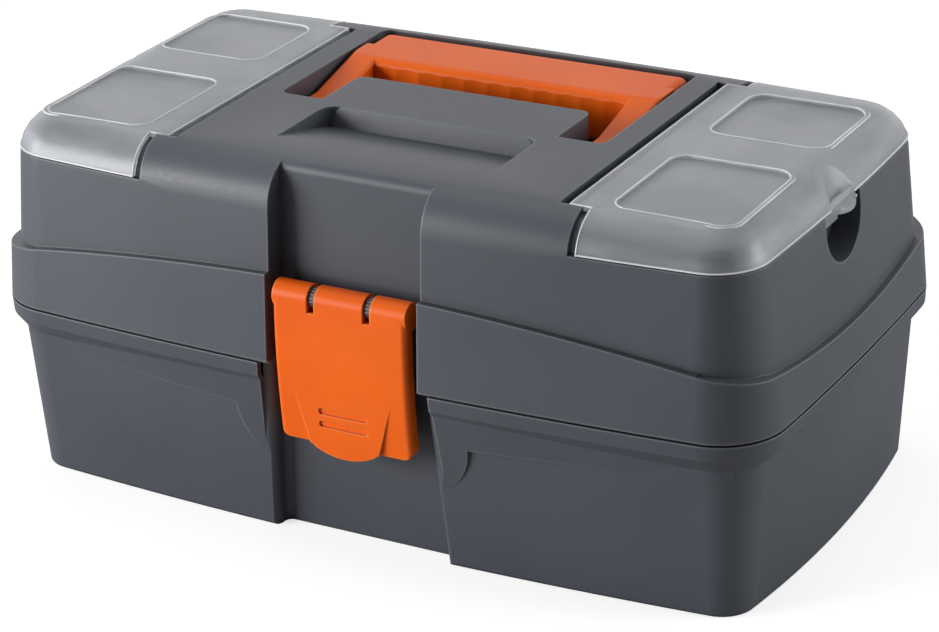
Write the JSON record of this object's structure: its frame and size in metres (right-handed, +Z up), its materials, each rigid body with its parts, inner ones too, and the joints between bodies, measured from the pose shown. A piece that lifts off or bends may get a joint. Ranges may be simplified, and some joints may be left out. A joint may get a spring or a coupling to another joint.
{
  "type": "small tool and parts organizer box",
  "caption": "Small moulded plastic tool box with a rear-hinged lid, front latch, fold-flat carry handle, lift-out tray and see-through lid organizers at both ends.",
  "frame": {"origin": "middle of the flat bottom of the tub, on the surface that the box stands on", "axes": "+X along the length to the right end, -Y to the latch side, +Z up"},
  "size_m": [0.32, 0.1904, 0.143],
  "materials": {
    "grey_pp": "fine moulded texture",
    "orange_pp": "satin moulded",
    "clear_pp": "frosted translucent",
    "tray_pp": "fine moulded texture",
    "steel_pin": "drawn wire"
  },
  "bodies": {
    "base": {"base_tub": "grey_pp", "left_hinge_pin": "steel_pin", "right_hinge_pin": "steel_pin"},
    "lid": {"lid_shell": "grey_pp", "latch_pin": "steel_pin", "left_bin_divider": "clear_pp", "right_bin_divider": "clear_pp"},
    "latch": {"front_latch": "orange_pp"},
    "handle": {"carry_handle": "orange_pp"},
    "cover_left": {"left_cover": "clear_pp"},
    "cover_right": {"right_cover": "clear_pp"},
    "tray": {"tool_tray": "tray_pp"}
  },
  "joints": [
    {"name": "lid_hinge", "type": "hinge", "parent": "base", "child": "lid", "pos_m": [0, 0.095, 0.07], "axis": [-1, 0, 0], "range_deg": [0, 100]},
    {"name": "latch_hinge", "type": "hinge", "parent": "lid", "child": "latch", "pos_m": [0, -0.085, 0.0972], "axis": [-1, 0, 0], "range_deg": [0, 100]},
    {"name": "handle_hinge", "type": "hinge", "parent": "lid", "child": "handle", "pos_m": [0, -0.0061, 0.1296], "axis": [1, 0, 0], "range_deg": [0, 90]},
    {"name": "right_cover_hinge", "type": "hinge", "parent": "lid", "child": "cover_right", "pos_m": [0.0832, 0, 0.1394], "axis": [0, -1, 0], "range_deg": [0, 95]},
    {"name": "left_cover_hinge", "type": "hinge", "parent": "lid", "child": "cover_left", "pos_m": [-0.0832, 0, 0.1394], "axis": [0, 1, 0], "range_deg": [0, 95]},
    {"name": "tray_lift", "type": "slide", "parent": "base", "child": "tray", "axis": [0, 0, 1], "range_m": [0, 0.03]}
  ]
}
